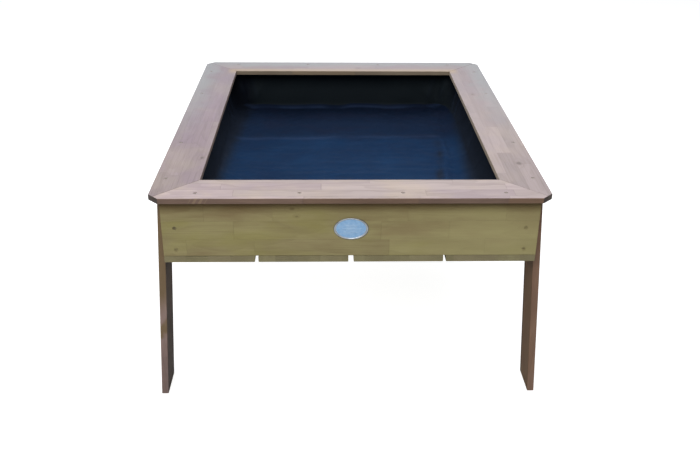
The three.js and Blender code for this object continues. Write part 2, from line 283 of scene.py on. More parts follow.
def wood(name, along, across, tones, stave, seed, knots=(), lean=0.0, sky_sheen=None,
         patchwork=0.5, lines=0.3, ends=0.45, tweak=None):
    """Stained softwood, glued up from finger-jointed staves of stave = (length, width).

    knots are (along, across, radius). The tones given for faces looking up are a painted sky
    reflection, paler than the sides.
    patchwork, lines and ends say how much the staves differ, and how dark their glue lines and end
    grain are, up to 1. tweak(shader, point, colour) changes the colour further.
    """
    shader = Shader(name)
    through = 3 - along - across
    point = position(shader, lean)
    u, v, w = point[along], point[across], point[through]
    length, width = stave

    # Staves: rows across the board, each cut into lengths of its own.
    row_at = shader.add(shader.times(v, 1 / width), 100.37 + seed)
    row = shader.maths("FLOOR", row_at)
    row_random = shader.random(row, seed, 0.0)[0]
    fingers = shader.maths("PINGPONG", shader.add(w, 1.0), STAVE_PITCH / 2)
    shifted = shader.add(u, shader.times(fingers, 2 * STAVE_ZIGZAG / STAVE_PITCH))
    shifted = shader.add(shifted, shader.times(row_random, 7.3 * length))
    wobble = shader.maths("SINE", shader.add(shader.times(shifted, 2.3 / length), row_random))
    block_at = shader.add(shader.times(shifted, 1 / length), shader.times(wobble, 0.25), 50.0)
    block = shader.maths("FLOOR", block_at)
    one, two, three = shader.random(row, block, seed + 0.5)

    # Glue lines, dark where a stave ends or meets its neighbour.
    end_gap = shader.maths("PINGPONG", block_at, 0.5)
    side_gap = shader.maths("PINGPONG", row_at, 0.5)
    end_line = shader.fall(end_gap, 0.0, 0.0007 / length)
    side_line = shader.fall(side_gap, 0.0, 0.0005 / width)
    line = shader.maths("MAXIMUM", end_line, shader.times(side_line, 0.6))

    # Knots push the rings apart and darken the wood.
    core, halo = 0.0, 0.0
    for knot_u, knot_v, radius in knots:
        du = shader.times(shader.add(u, -knot_u), 0.62 / radius)
        dv = shader.times(shader.add(v, -knot_v), 1 / radius)
        reach = shader.length(du, dv)
        core = shader.add(core, shader.fall(reach, 0.35, 1.0))
        halo = shader.add(halo, shader.fall(reach, 0.8, 2.6))

    # Year rings round a heart that lies somewhere off each stave.
    heart_v = shader.add(shader.maths("FRACT", row_at), shader.times(two, -1.6))
    heart_v = shader.times(heart_v, width)
    heart_w = shader.add(w, 0.012, shader.times(three, 0.05))
    drift = shader.combine(shader.add(shader.times(u, 2.2), shader.times(one, 40)),
                           shader.add(shader.times(v, 9.0), shader.times(two, 40)),
                           shader.times(w, 9.0))
    warp = shader.times(shader.add(shader.noise(drift, 1.0, 3.0, 0.55), -0.5), 0.028)
    radius = shader.add(shader.length(heart_v, heart_w), warp, shader.times(halo, 0.0025))
    ring = shader.maths("FRACT", shader.times(radius, 1 / RING))
    late = shader.step(ring, 0.35, LATE_END)
    late = shader.times(late, shader.fall(ring, LATE_END, 1.0))

    # Fibres, and patches where the stain soaked in more.
    fibre = shader.noise(shader.stretched((u, v, w), 9.0, 420.0, 420.0), 1.0, 3.0, 0.6)
    soak_at = shader.combine(shader.add(shader.times(u, 6.0), shader.times(one, 20)),
                             shader.times(v, 26.0), shader.times(w, 26.0))
    soak = shader.noise(soak_at, 1.0, 3.0, 0.6)
    weather = shader.noise(shader.combine(*point), 7.0, 3.0, 0.6)

    pale, middle, dark, tint = tones
    colour = shader.mix(shader.step(soak, 0.3, 0.7), middle, pale)
    colour = shader.tint(colour, tint, shader.step(two, 0.45, 1.0), patchwork)
    # Painted sky reflection: faces looking up take paler tones than the sides.
    if sky_sheen is not None:
        up = shader.step(facing(shader, 2), 0.6, 0.9)
        cool = shader.mix(shader.step(two, 0.3, 1.0), sky_sheen[0], sky_sheen[1])
        warm = shader.tint(cool, sky_sheen[2], shader.step(weather, 0.42, 0.68), 0.75)
        colour = shader.mix(up, colour, warm)
    colour = shader.tint(colour, dark, late, 0.13)
    colour = shader.tint(colour, dark, shader.step(fibre, 0.45, 0.8), 0.28)
    spread = 0.32 * patchwork
    value = shader.add(shader.times(one, spread), shader.times(weather, 0.10), 0.95 - spread / 2)
    colour = shader.shade(colour, value)
    if knots:
        for reach, strength, tone in ((halo, 0.10, dark), (core, 0.42, KNOT)):
            near = shader.times(shader.maths("MINIMUM", reach, 1.0), strength)
            colour = shader.mix(near, colour, tone)
    colour = shader.tint(colour, KNOT, line, lines)
    end_grain = shader.step(facing(shader, along), 0.5, 0.8)
    colour = shader.tint(colour, dark, end_grain, ends)

    # Eased edges catch less stain and rub bare.
    rounded = shader.times(facing(shader, across), facing(shader, through))
    rub = shader.step(rounded, 0.12, 0.4)
    rub = shader.times(rub, shader.step(weather, 0.3, 0.7), 0.35)
    colour = shader.mix(rub, colour, pale)

    if tweak is not None:
        colour = tweak(shader, position(shader), colour)

    roughness = shader.add(0.52, shader.times(fibre, 0.22), shader.times(weather, 0.08))
    height = shader.add(shader.times(late, -0.35), shader.times(fibre, -0.5))
    height = shader.add(height, shader.times(line, -0.9))
    return shader.finish(colour, roughness, height, RELIEF, Specular_IOR_Level=0.35)


def rim_weather(shader, point, colour):
    """The rim's mitres are thin dark seams and its cut corners have soaked up a grey stain. Towards
    the rear its outer edge has silvered. One finger joint shows pale on its front edge.
    """
    x, y = (shader.absolute(c) for c in point[:2])
    cloud = shader.noise(shader.combine(*point), 16.0, 3.0, 0.6)
    up = shader.step(facing(shader, 2), 0.6, 0.9)
    beyond = (shader.add(c, -half) for c, half in zip((x, y), OPENING))
    from_opening = shader.maths("MAXIMUM", *beyond)
    outwards = shader.add(from_opening, shader.times(cloud, 0.10), -0.05)
    outwards = shader.step(outwards, 0.030, 0.085)
    rearwards = shader.step(point[1], -0.30, 0.42)
    colour = shader.tint(colour, MAUVE, rearwards, up, 0.55)
    colour = shader.tint(colour, SILVER, outwards, rearwards, up, 0.8)
    inner_edge = shader.fall(from_opening, 0.010, 0.030)
    behind = shader.step(point[1], 0.36, 0.40)
    colour = shader.tint(colour, BARE_EDGE, inner_edge, behind, up, 0.75)

    # The pale joint's fingers slant across the front edge.
    joint_x, slant = -0.306, 0.6
    middle_z = TOP_Z - 0.009
    from_joint = shader.add(point[0], shader.times(point[2], -slant), slant * middle_z - joint_x)
    near = shader.fall(shader.absolute(from_joint), 0.014, 0.019)
    fingers = shader.maths("PINGPONG", shader.add(from_joint, 1.2), 0.006)
    fingers = shader.step(fingers, 0.0022, 0.0042)
    ahead = shader.times(shader.step(point[1], low.y + 0.004, low.y + 0.002), facing(shader, 1))
    colour = shader.tint(colour, PALE_JOINT, near, fingers, ahead, 0.50)

    cut = shader.step(shader.times(facing(shader, 0), facing(shader, 1)), 0.30, 0.45)
    soaked = shader.add(0.35, shader.times(cloud, 0.45))
    colour = shader.tint(colour, SOAKED_CUT, cut, soaked)
    off = shader.absolute(shader.add(y, shader.times(x, -1), -MITRE_OFFSET))
    tight = shader.add(0.14, shader.times(shader.step(cloud, 0.42, 0.62), 0.40))
    seam = shader.times(shader.fall(off, 0.0006, 0.0022), tight)
    return shader.mix(seam, colour, SEAM)


def under_rim(shader, point, colour):
    """Brown and olive clouds in the stain, a paler right half, and painted shade: darker towards
    the top, darkest in a band just under the rim's overhang.
    """
    cloud = shader.noise(shader.stretched(point, 5.0, 5.0, 15.0), 1.0, 3.0, 0.55)
    height = shader.add(point[2], shader.times(shader.add(cloud, -0.5), 0.02))
    layers = (
        (cloud, 0.48, 0.66, 0.60, (0.265, 0.19, 0.095)),
        (cloud, 0.50, 0.34, 0.55, (0.335, 0.30, 0.10)),
        (point[0], 0.02, 0.30, 0.50, (0.45, 0.40, 0.19)),
        # Painted shade under the rim's overhang: darker towards the top, darkest in a band just
        # under it.
        (height, 0.41, 0.47, 0.22, (0.17, 0.125, 0.05)),
        (height, 0.456, 0.484, 0.78, (0.110, 0.053, 0.010)),
    )
    for value, start, end, strength, tone in layers:
        colour = shader.tint(colour, tone, shader.step(value, start, end), strength)
    return colour


def leg_stain_and_shade(way):
    """Legs are darker on the side that faces in, most at its far edge and its top: painted shade,
    where the legs face each other and the tray is over them. The left ones are greyer, and olive
    near the top.
    """
    inner, olive, wear_and_fold_light = LEG_SHADE_AND_STAINS[way]

    def tweak(shader, point, colour):
        y, z = point[1:]
        normal = shader.node("ShaderNodeNewGeometry").outputs["True Normal"]
        inwards = shader.step(shader.times(shader.separate(normal)[0], -way), 0.6, 0.9)
        cloud = shader.noise(shader.stretched(point, 30.0, 30.0, 9.0), 1.0, 3.0, 0.6)
        drift = shader.add(z, shader.times(cloud, 0.10), -0.05)
        colour = shader.tint(colour, wear_and_fold_light, shader.step(cloud, 0.50, 0.66), 0.35)
        tall = shader.step(drift, 0.200, 0.270)
        spot = shader.step(drift, 0.152, 0.166)
        spot = shader.times(spot, shader.fall(drift, 0.178, 0.192))
        ahead = shader.add(shader.times(facing(shader, 1), 0.8), 0.2)
        stained = shader.times(shader.maths("MAXIMUM", tall, spot), ahead, olive)
        colour = shader.mix(stained, colour, OLIVE)
        # Painted shade on the side that faces in, deepest at its far edge and at its top under the
        # tray.
        colour = shader.tint(colour, inner, inwards, 0.62)
        far_edge = shader.fall(shader.absolute(y), 0.379, 0.397)
        shade = shader.maths("MAXIMUM", far_edge, shader.step(z, 0.285, 0.355))
        return shader.tint(colour, (0.020, 0.017, 0.014), inwards, shade, 0.55)

    return tweak


def paint(node, material):
    """A CAD piece keeps its shape and takes the material in every slot."""
    for slot in NODES[node].material_slots:
        slot.material = material


def paint_rails():
    knots = {
        "front": [], "rear": [(0.045, 0.43, 0.005)], "left": [(-0.277, -0.3226, 0.005)],
        "right": [(-0.310, 0.370, 0.008), (0.18, 0.345, 0.005)],
    }
    for i, place in enumerate([*ENDS, *SIDES]):
        along = 0 if place in ENDS else 1
        paint(f"top_rail_{place}", wood(
            f"rail_wood_{place}", along, 1 - along, RAIL_TONES[place], RAIL_STAVE, 3.0 + 2 * i,
            knots[place], sky_sheen=RAIL_SKY_SHEEN[place], patchwork=0.6, ends=0.95, tweak=rim_weather))


def paint_tray():
    side_knots = [(-0.2, 0.44, 0.006), (0.14, 0.40, 0.005)]
    boards = (
        ("front", [(-0.119, 0.470, 0.0045), (-0.110, 0.453, 0.003)], 0.26, 0.08),
        ("rear", [(0.16, 0.42, 0.007)], 0.25, 0.15),
        ("left", side_knots, 0.25, 0.15),
        ("right", side_knots, 0.25, 0.15),
    )
    for i, (place, knots, patchwork, lines) in enumerate(boards):
        along, node = (0, f"{place}_board") if place in ENDS else (1, f"side_board_{place}")
        paint(node, wood(f"board_wood_{place}", along, 2, BOARD_TONES, BOARD_STAVE, 11.0 + i, knots,
                         patchwork=patchwork, lines=lines, tweak=under_rim))
    for i, side in enumerate(SIDES):
        cleat_wood = wood(f"cleat_wood_{side}", 1, 0, INNER_TONES, CLEAT_STAVE, 41.0 + i)
        paint(f"side_cleat_{side}", cleat_wood)
    for i in range(PLANKS):
        paint(f"floor_plank_{i + 1}", wood(
            f"plank_wood_{i + 1}", 1, 0, PLANK_TONES, PLANK_STAVE, 17.0 + i, lines=0.2, ends=0.3))


def paint_legs():
    for i, (end, end_way) in enumerate(ENDS.items()):
        for j, (side, way) in enumerate(SIDES.items()):
            seed = 23.0 + 2 * i + j
            knots = [(0.20 + 0.09 * j, end_way * (0.40 + 0.02 * i), 0.005)]
            paint(f"leg_{end}_{side}", wood(
                f"leg_wood_{end}_{side}", 2, 1, LEG_TONES[side], LEG_STAVE, seed, knots,
                lean=-way * LEG_LEAN, tweak=leg_stain_and_shade(way)))
            paint(f"corner_post_{end}_{side}", wood(
                f"post_wood_{end}_{side}", 2, 1, INNER_TONES, POST_STAVE, seed + 10))


paint_rails()
paint_tray()
paint_legs()


# ------------------------------------------------------------------- liner

LINER_RIM = (0.3722, 0.4564, 0.068)  # half width, half length and corner cut
LINER_FLOOR = (0.309, 0.450, 0.026)
FOOT_INSET = 0.026  # width of the soft curve inside the wall's foot
CLOTH = 0.8 * MM  # thickness
CELL = 0.010  # of the cloth's mesh
WALL_ROWS = 12
WALL_FOOT = 0.13  # share of a wall that its curved foot takes up
SETTLING_FRAMES = 36


def outline(half_x, half_y, cut, cells_x, cells_y):
    """A ring of points round an eight-sided outline, evenly spaced on each side.

    It starts halfway along the front left corner's cut and goes round by the front, right and rear.
    """
    ring = []
    quarter_turns = ((half_x, half_y, cells_x, 0), (half_y, half_x, cells_y, 1),
                     (half_x, half_y, cells_x, 2), (half_y, half_x, cells_y, 3))
    for reach, out, cells, turn in quarter_turns:
        path = [(-reach + cut / 2, -out + cut / 2), (-reach + cut, -out)]
        path += [(-px, py) for px, py in reversed(path)]
        spans = [math.dist(a, b) for a, b in zip(path, path[1:])]
        for i in range(cells):
            along = sum(spans) * i / cells
            k = 0
            while along > spans[k]:
                along -= spans[k]
                k += 1
            a, b = Vector(path[k]), Vector(path[k + 1])
            point = a.lerp(b, along / spans[k])
            spun = Matrix.Rotation(turn * math.pi / 2, 2) @ point
            ring.append(spun)
    for _ in range(4):
        count = len(ring)
        ring = [(ring[i - 1] + ring[i] * 2 + ring[(i + 1) % count]) / 4 for i in range(count)]
    return ring


def inset(ring, distance):
    count = len(ring)
    moved = []
    for i, point in enumerate(ring):
        tangent = (ring[(i + 1) % count] - ring[i - 1]).normalized()
        moved.append(point + Vector((-tangent.y, tangent.x)) * distance)
    return moved


def liner_mesh(floor_z, rim_z):
    """The smooth tray: a floor patch inside the first ring, then rows of cloth up to the rim."""
    cells_x, cells_y = round(2 * LINER_FLOOR[0] / CELL), round(2 * LINER_FLOOR[1] / CELL)
    foot = outline(*LINER_FLOOR, cells_x, cells_y)
    rim = outline(*LINER_RIM, cells_x, cells_y)
    start = inset(foot, FOOT_INSET)
    count = len(foot)
    points, faces = [], []

    # The floor blends its four sides (a Coons patch).
    def side(first, cells, back=False):
        run = [start[(first + i) % count] for i in range(cells + 1)]
        return run[::-1] if back else run
    front, right = side(0, cells_x), side(cells_x, cells_y)
    rear = side(cells_x + cells_y, cells_x, back=True)
    left = side(2 * cells_x + cells_y, cells_y, back=True)
    index = {}
    for j in range(cells_y + 1):
        for i in range(cells_x + 1):
            u, v = i / cells_x, j / cells_y
            edge = front[i] * (1 - v) + rear[i] * v + left[j] * (1 - u) + right[j] * u
            near_corners = front[0] * (1 - u) + front[-1] * u
            far_corners = rear[0] * (1 - u) + rear[-1] * u
            corners = near_corners * (1 - v) + far_corners * v
            index[i, j] = len(points)
            points.append(Vector((*(edge - corners), floor_z)))
    for j in range(cells_y):
        for i in range(cells_x):
            faces.append((index[i, j], index[i + 1, j], index[i + 1, j + 1], index[i, j + 1]))
    around = [index[i, 0] for i in range(cells_x)]
    around += [index[cells_x, j] for j in range(cells_y)]
    around += [index[i, cells_y] for i in range(cells_x, 0, -1)]
    around += [index[0, j] for j in range(cells_y, 0, -1)]

    # The foot is a soft curve, and the wall is straight above it.
    rows = []
    for k in (1, 2):
        t = k / 3
        row = []
        for a, b, c in zip(start, foot, rim):
            low_end, knee = Vector((*a, floor_z)), Vector((*b, floor_z))
            top = knee.lerp(Vector((*c, rim_z)), WALL_FOOT)
            row.append(low_end.lerp(knee, t).lerp(knee.lerp(top, t), t))
        rows.append(row)
    for k in range(WALL_ROWS):
        t = WALL_FOOT + (1 - WALL_FOOT) * k / (WALL_ROWS - 1)
        rows.append([Vector((*b, floor_z)).lerp(Vector((*c, rim_z)), t) for b, c in zip(foot, rim)])
    below = around
    for row in rows:
        here = list(range(len(points), len(points) + count))
        points.extend(row)
        for i in range(count):
            j = (i + 1) % count
            faces.append((below[j], below[i], here[i], here[j]))
        below = here
    return points, faces, below


def drape(piece, pinned, floor_z):
    """Lets the cloth, cut a little too large, settle on the planks and against the frame."""
    pins = piece.vertex_groups.new(name="pins")
    pins.add(pinned, 1.0, "REPLACE")
    walls = []
    for node in list(NODES):
        if node.startswith(("corner_post", "side_cleat")):
            walls.append(block(f"guard_{node}", *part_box(node)))
    under, top = Vector((-0.42, -0.5, floor_z - 0.03)), Vector((0.42, 0.5, floor_z - 1.0 * MM))
    walls.append(block("guard_floor", under, top))
    for wall in walls:
        wall.modifiers.new("collision", "COLLISION")
        wall.collision.thickness_outer = 0.6 * MM
        wall.collision.cloth_friction = 12
    cloth = piece.modifiers.new("cloth", "CLOTH")
    settings = cloth.settings
    settings.quality = 6
    settings.mass = 0.35
    settings.air_damping = 4
    settings.tension_stiffness = settings.compression_stiffness = 25
    settings.shear_stiffness = 12
    settings.bending_stiffness = 3.0
    settings.shrink_min = -0.016
    settings.vertex_group_mass = "pins"
    cloth.collision_settings.distance_min = 0.6 * MM
    cloth.collision_settings.collision_quality = 3
    cloth.point_cache.frame_start, cloth.point_cache.frame_end = 1, SETTLING_FRAMES
    for frame_number in range(1, SETTLING_FRAMES + 1):
        SCENE.frame_set(frame_number)
    apply_modifiers(piece)
    SCENE.frame_set(1)
    for wall in walls:
        bpy.data.objects.remove(wall, do_unlink=True)


def block(name, lowest, highest):
    bm = bmesh.new()
    bmesh.ops.create_cube(bm, size=1)
    size, middle = highest - lowest, (highest + lowest) / 2
    for vertex in bm.verts:
        vertex.co = Vector(c * s for c, s in zip(vertex.co, size)) + middle
    return mesh_object(name, bm)


def mesh_object(name, bm):
    mesh = bpy.data.meshes.new(name)
    bm.to_mesh(mesh)
    bm.free()
    piece = bpy.data.objects.new(name, mesh)
    SCENE.collection.objects.link(piece)
    return piece


def apply_modifiers(piece):
    bpy.context.view_layer.update()
    evaluated = piece.evaluated_get(bpy.context.evaluated_depsgraph_get())
    shaped = bpy.data.meshes.new_from_object(evaluated)
    piece.modifiers.clear()
    old = piece.data
    piece.data = shaped
    shaped.name = old.name
    bpy.data.meshes.remove(old)


def bump(distance, width):
    return math.exp(-((distance / width) ** 2))


def ease(value, start, end):
    t = min(1.0, max(0.0, (value - start) / (end - start)))
    return t * t * (3 - 2 * t)


def wander(*place):
    return noise.noise(Vector(place))


# In each corner: place of a pleat's sharp side, its width and its depth. Places are along the
# wall from the corner's middle, with the end wall's below 0.
PLEATS = (
    (-0.046, 0.030, 0.012), (-0.092, 0.026, 0.008), (0.036, 0.028, 0.012), (0.080, 0.024, 0.008),
)
FOOT_X, FOOT_Y = (-0.302, 0.306), 0.446  # where the walls' raised foot runs
CORNER_X, CORNER_Y = 0.340, 0.435  # the middle of a pleated corner, at the floor
CROSS_FOLD_Y = 0.205
SIDE_FOLD_X = 0.25
# Painted shade along the side fold: place, reach and how dark.
SIDE_DIPS = ((-0.055, 0.030, 0.95), (0.080, 0.020, 0.55), (-0.26, 0.03, 0.5))


def crease_liner(piece, floor_z, rim_z):
    """Adds the folds that the fabric was packed with, the pleats in the corners and the raised
    foot.

    A point attribute holds painted light: 1 for a painted highlight on a fold's crest, below 0 for
    painted shade in a fold's dip.
    """
    mesh = piece.data
    fold_light_and_shade = mesh.attributes.new("fold_light_and_shade", "FLOAT", "POINT")
    depth = rim_z - floor_z
    for i, vertex in enumerate(mesh.vertices):
        x, y, z = vertex.co
        height = max(0.0, z - floor_z)
        level = height / depth
        floor_part = 1 - ease(height, 0.004, 0.02)
        foot_part = 1 - ease(height, 0.004, 0.03)
        lift, wear_and_fold_light = 0.0, 0.0
        waver = wander(x * 7, y * 7, 3.1)
        way_x, way_y = math.copysign(1, x), math.copysign(1, y)

        # The foot of each wall stands off the planks, most at the rear.
        rear_gap = FOOT_Y - y
        swell = 0.0035 + 0.0045 * ease(x, -0.3, 0.05) + 0.002 * wander(x * 5, 1.7, 0.2)
        sag = 0.55 * bump(x + 0.02, 0.03) + 0.35 * bump(x - 0.245, 0.012)
        lift += swell * (1 - sag) * bump(rear_gap, 0.024) * foot_part
        lift += 0.004 * ease(y, 0.21, 0.44) * floor_part
        # Painted highlight along the foot's crest, broken up in places.
        broken = 0.40 + 0.60 * ease(wander(x * 15, 2.2, 6.0), -0.40, 0.20)
        broken *= (1 - 0.8 * sag) * (1 - 0.6 * ease(abs(x), 0.25, 0.30))
        crest = 1.8 * bump(rear_gap - 0.006, 0.006) * (1 - ease(height, 0.012, 0.03))
        wear_and_fold_light = max(wear_and_fold_light, crest * broken)
        for gap in (FOOT_Y + y, FOOT_X[1] - x, x - FOOT_X[0]):
            lift += (0.005 + 0.002 * waver) * bump(gap, 0.022) * foot_part

        # Folds from the packet: one across the floor, one along its right side and two faint ones.
        fold = y - CROSS_FOLD_Y - 0.010 * math.sin(5 * x) - 0.006 * waver
        across = ease(x, -0.315, -0.28) * (1 - ease(x, 0.25, 0.28)) * floor_part
        lift += 0.0032 * bump(fold, 0.010) * across
        # Painted highlight on the crest of the fold across the floor.
        patchy = max(ease(wander(x * 6, 8.3, 0.0), -0.35, 0.25), 0.75 * bump(x - 0.12, 0.10))
        wear_and_fold_light = max(wear_and_fold_light, 1.15 * patchy * bump(fold + 0.003, 0.007) * across)
        lift += 0.0035 * bump(x + 0.02, 0.03) * bump(y - 0.225, 0.02) * floor_part
        fold = x - SIDE_FOLD_X - 0.012 * math.sin(9 * y) - 0.004 * waver
        along = ease(y, -0.42, -0.36) * (1 - ease(y, 0.16, 0.22)) * floor_part
        lift += 0.006 * bump(fold - 0.007, 0.007) * along
        # Painted highlight on the side fold's crest, and painted shade in its dip.
        patchy = ease(wander(2.0, y * 9, 4.0), -0.4, 0.3)
        wear_and_fold_light = max(wear_and_fold_light, 0.25 * bump(fold - 0.010, 0.008) * along)
        wear_and_fold_light -= 0.6 * patchy * bump(fold + 0.004, 0.009) * along
        for dip_y, reach, dark in SIDE_DIPS:
            wear_and_fold_light -= dark * bump(fold + 0.008, 0.008) * bump(y - dip_y, reach) * floor_part
        fold = y + 0.19 - 0.012 * math.sin(4 * x + 1)
        lift += 0.0022 * bump(fold, 0.010) * floor_part
        fold = x + 0.035 + 0.010 * math.sin(6 * y + 2)
        lift += 0.0016 * bump(fold, 0.009) * floor_part

        # Soft quilting between the folds, and tucks that run out of the floor's corners.
        quilt = 1.7 * wander(x * 10, y * 7, 5.0) + 0.8 * wander(x * 26, y * 20, 9.0)
        lift += (0.0012 + 0.0016 * quilt) * floor_part
        from_corner = Vector((LINER_FLOOR[0] - abs(x), LINER_FLOOR[1] - abs(y)))
        bearing = math.atan2(from_corner.y, from_corner.x) + 0.4 * waver
        tuck = 0.5 + 0.5 * math.cos(9 * bearing + 2 * way_x)
        lift += 0.0040 * tuck ** 3 * bump(from_corner.length - 0.075, 0.055) * floor_part

        # Pleats gather the spare cloth at the corners, deeper towards the rim.
        inwards = Vector((-way_x, -way_y, 0)).normalized()
        corner = Vector((abs(x) - CORNER_X - 0.030 * level, abs(y) - CORNER_Y - 0.012 * level))
        side = corner.x - corner.y
        pull = 0.0
        if corner.length < 0.15:
            for crest, width, deepness in PLEATS:
                beyond = (side - crest) * math.copysign(1, crest)
                rise = ease(beyond, -0.004, 0.004) * (1 - ease(beyond, 0.004, width))
                pull += deepness * ease(level, -0.05, 0.5) * rise
                # Painted highlight on each pleat's crest, and painted shade in its crevice.
                wear_and_fold_light = max(wear_and_fold_light, 0.12 * bump(beyond - 0.006, 0.005) * ease(level, 0.0, 0.2))
                wear_and_fold_light -= 0.8 * bump(beyond + 0.005, 0.006) * ease(level, 0.0, 0.2)

        # Slack in the walls.
        wall = ease(level, 0.1, 0.4) * (1 - ease(level, 0.85, 1.0))
        slack = (0.0035 + 0.0055 * wander(x * 13, y * 13, z * 4)) * wall
        if abs(y) - 0.43 > (abs(x) - 0.33) * 1.1:
            flat = Vector((0, -way_y, 0))
        else:
            flat = Vector((-way_x, 0, 0))
        vertex.co += inwards * pull + flat * max(0.0, slack) + Vector((0, 0, lift))
        vertex.co.z = max(vertex.co.z, floor_z)
        fold_light_and_shade.data[i].value = wear_and_fold_light


def keep_inside(piece, points, floor_z):
    """No point stays below the floor or further out than its place in the smooth tray."""
    for vertex, smooth in zip(piece.data.vertices, points):
        co = vertex.co
        co.z = max(co.z, floor_z)
        if smooth.z > floor_z + 1 * MM:
            outwards = Vector((smooth.x, smooth.y, 0)).normalized()
            over = (co - smooth).dot(outwards)
            if over > 0:
                co -= outwards * over


def make_liner():
    floor_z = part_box("floor_plank_1")[1].z + 0.1 * MM + CLOTH / 2
    rim_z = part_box("liner")[1].z - 0.5 * MM
    points, faces, rim = liner_mesh(floor_z, rim_z)
    mesh = bpy.data.meshes.new("liner_cloth")
    mesh.from_pydata(points, [], faces)
    liner = bpy.data.objects.new("liner_cloth", mesh)
    SCENE.collection.objects.link(liner)
    drape(liner, rim, floor_z)
    keep_inside(liner, points, floor_z)
    crease_liner(liner, floor_z, rim_z)
    liner.modifiers.new("smooth", "SUBSURF").levels = 1
    skin = liner.modifiers.new("skin", "SOLIDIFY")
    skin.thickness, skin.offset = CLOTH, 0.0
    apply_modifiers(liner)
    liner.data.shade_smooth()
    liner.data.materials.append(cloth_material())
    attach(liner, BODY)
    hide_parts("liner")


CLOTH_TONES = ((0.0018, 0.0165, 0.055), (0.0036, 0.0280, 0.083))
# Tones of the walls, darker than the floor: painted shade.
WALL_TONES = ((0.0126, 0.0184, 0.0230), (0.0068, 0.0093, 0.0155))
REAR_SHADE = (0.0040, 0.0075, 0.0200)  # towards the rear
BLOTCH = (0.0075, 0.0110, 0.0290)
# A painted highlight for fold crests, and painted shade for fold dips.
CREST_HIGHLIGHT = (0.024, 0.042, 0.095)
DIP_SHADE = (0.004, 0.008, 0.018)
THREAD = 0.0016  # distance between threads


def cloth_material():
    """Navy woven sheeting, with painted shade: darker and greyer on the walls and beside them, and
    darker towards the rear of the floor.
    """
    shader = Shader("liner_weave")
    point = position(shader)
    x, y, z = point
    normal = shader.separate(shader.node("ShaderNodeNewGeometry").outputs["Normal"])
    weave = 0.0
    for axis in range(3):
        across = shader.inverse(shader.absolute(normal[axis]))
        thread = shader.maths("SINE", shader.times(point[axis], 2 * math.pi / THREAD))
        weave = shader.add(weave, shader.times(across, thread))
    place = shader.combine(*point)
    patches = shader.noise(place, 6.0, 4.0, 0.6)
    cloudy = shader.noise(place, 22.0, 4.0, 0.65)
    streaks = shader.noise(shader.stretched(point, 4.0, 30.0, 1.0), 1.0, 4.0, 0.6)
    specks = shader.noise(place, 900.0, 2.0, 0.5)

    # The floor, with painted shade towards the rear: brighter towards the front, with a step at the
    # fold across it.
    fade = shader.add(shader.times(patches, 0.7), shader.times(cloudy, 0.35))
    fade = shader.add(fade, shader.times(streaks, 0.3))
    ahead = shader.times(y, -1)
    cloudy_ahead = shader.add(ahead, shader.times(cloudy, 0.02))
    forward = shader.times(shader.step(ahead, -0.43, -0.04), 0.65)
    forward = shader.add(forward, shader.times(shader.step(cloudy_ahead, -0.215, -0.165), 0.35))
    colour = shader.mix(shader.step(fade, 0.45, 0.95), *CLOTH_TONES)
    colour = shader.tint(colour, REAR_SHADE, shader.inverse(forward), 0.85)
    blotch = shader.combine(shader.times(x, 13.0), shader.times(y, 17.0), 4.0)
    blotch = shader.step(shader.noise(blotch, 1.0, 3.0, 0.6), 0.47, 0.60)
    blotch = shader.times(blotch, shader.maths("SUBTRACT", 1.15, forward), 0.42)
    colour = shader.mix(blotch, colour, BLOTCH)

    # The walls, and the strips of floor beside the side walls, which run a little aslant, take
    # darker tones: painted shade.
    aslant = shader.absolute(shader.add(x, shader.times(y, -0.062)))
    wall = shader.mix(shader.step(aslant, 0.280, 0.318), *WALL_TONES)
    up = shader.step(shader.absolute(normal[2]), 0.40, 0.90)
    colour = shader.mix(shader.inverse(up), colour, wall)
    beside = shader.step(shader.add(aslant, shader.times(cloudy, 0.02)), 0.296, 0.332)
    colour = shader.tint(colour, wall, beside, 0.85)
    # Painted light from the folds: a painted highlight on their crests, and painted shade in their
    # dips.
    wear_and_fold_light = shader.node("ShaderNodeAttribute", attribute_name="fold_light_and_shade").outputs["Fac"]
    crest = shader.maths("MULTIPLY", wear_and_fold_light, 0.5, clamp=True)
    colour = shader.mix(crest, colour, CREST_HIGHLIGHT)
    dip = shader.maths("MAXIMUM", shader.times(wear_and_fold_light, -1.0), 0.0)
    colour = shader.mix(dip, colour, DIP_SHADE)
    glint = shader.add(0.86, shader.times(specks, 0.28), shader.times(weave, 0.05))
    colour = shader.shade(colour, glint)
    roughness = shader.add(0.62, shader.times(cloudy, 0.2))
    height = shader.add(shader.times(weave, 0.5), shader.times(specks, 0.4))
    return shader.finish(colour, roughness, height, 0.00012, Specular_IOR_Level=0.07,
                         Sheen_Weight=0.05, Sheen_Roughness=0.45, Sheen_Tint=(0.35, 0.55, 1.0, 1.0))


make_liner()


# ---------------------------------------------------------------- fittings

SCREW_TURNS = 28
HEAD = (3.8 * MM, 0.5 * MM, 2.7 * MM)  # radius, straight edge and height
SHANK = 1.9 * MM
SCREW_LENGTH = 38 * MM
SCREW_PLAIN = 12 * MM  # of its length, without thread
CROSS_REACH, CROSS_WIDTH, CROSS_DEPTH = 2.3 * MM, 0.75 * MM, 1.5 * MM
PLANK_SCREW_INSET = 0.03  # from a plank's edge
BARE_SCREW = "board_screw_front_left_upper"  # the only board screw with little stain on it


